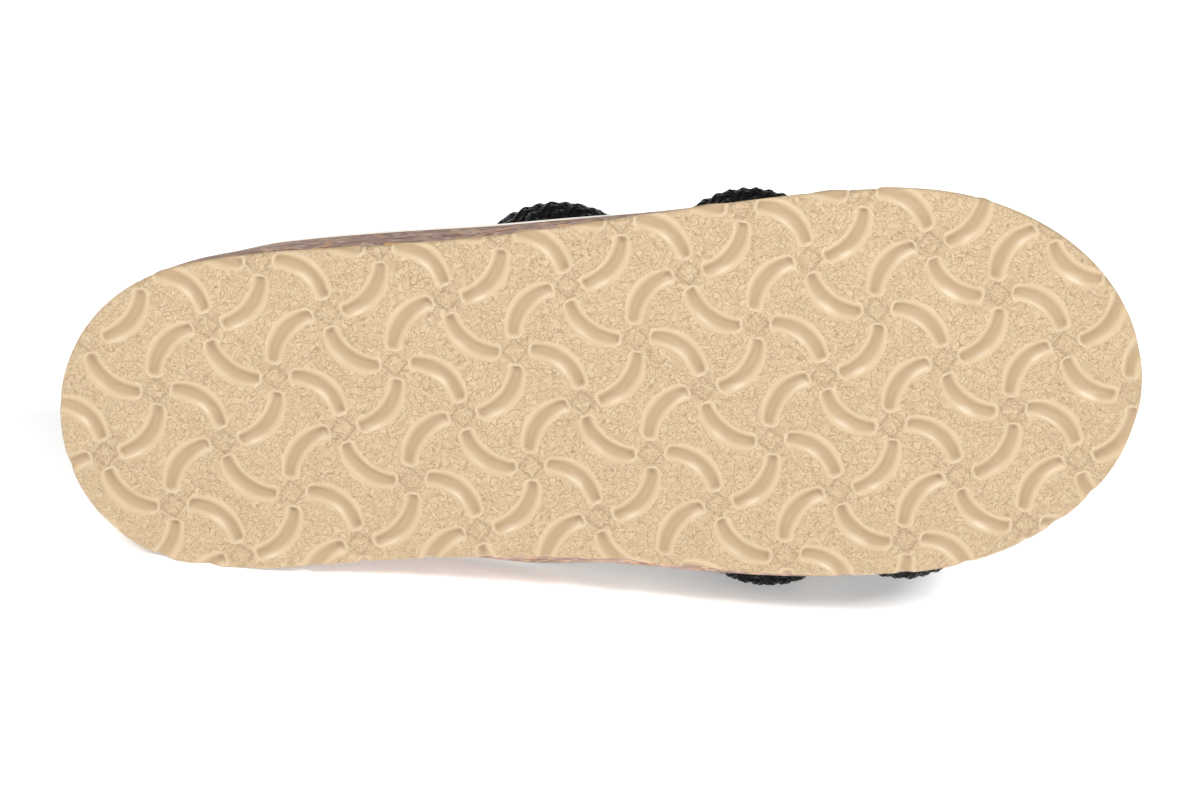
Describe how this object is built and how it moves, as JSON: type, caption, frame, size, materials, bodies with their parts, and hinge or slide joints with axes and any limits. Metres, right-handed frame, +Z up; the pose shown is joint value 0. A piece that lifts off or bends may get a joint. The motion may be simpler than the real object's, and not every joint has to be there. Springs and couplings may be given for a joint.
{
  "type": "buckle flat",
  "caption": "Right-foot two-strap footbed sandal with braided black cord straps, a cork midsole and a tan sole with a wavy grid tread, lying on its inner side.",
  "frame": {"origin": "middle of the bounding box on the floor plane", "axes": "+X from heel to toe along the floor, +Z up, the tread faces -Y"},
  "size_m": [0.2508, 0.0912, 0.1096],
  "materials": {
    "tread": "matte",
    "cork": "matte",
    "suede": "matte",
    "cord": "matte",
    "metal": "satin"
  },
  "bodies": {
    "root": {"outsole": "tread", "midsole": "cork", "insole": "suede", "strap_rear": "cord", "strap_front": "cord", "buckle_frame_rear": "metal", "buckle_frame_front": "metal", "buckle_prong_rear": "metal", "buckle_prong_front": "metal"}
  },
  "joints": []
}
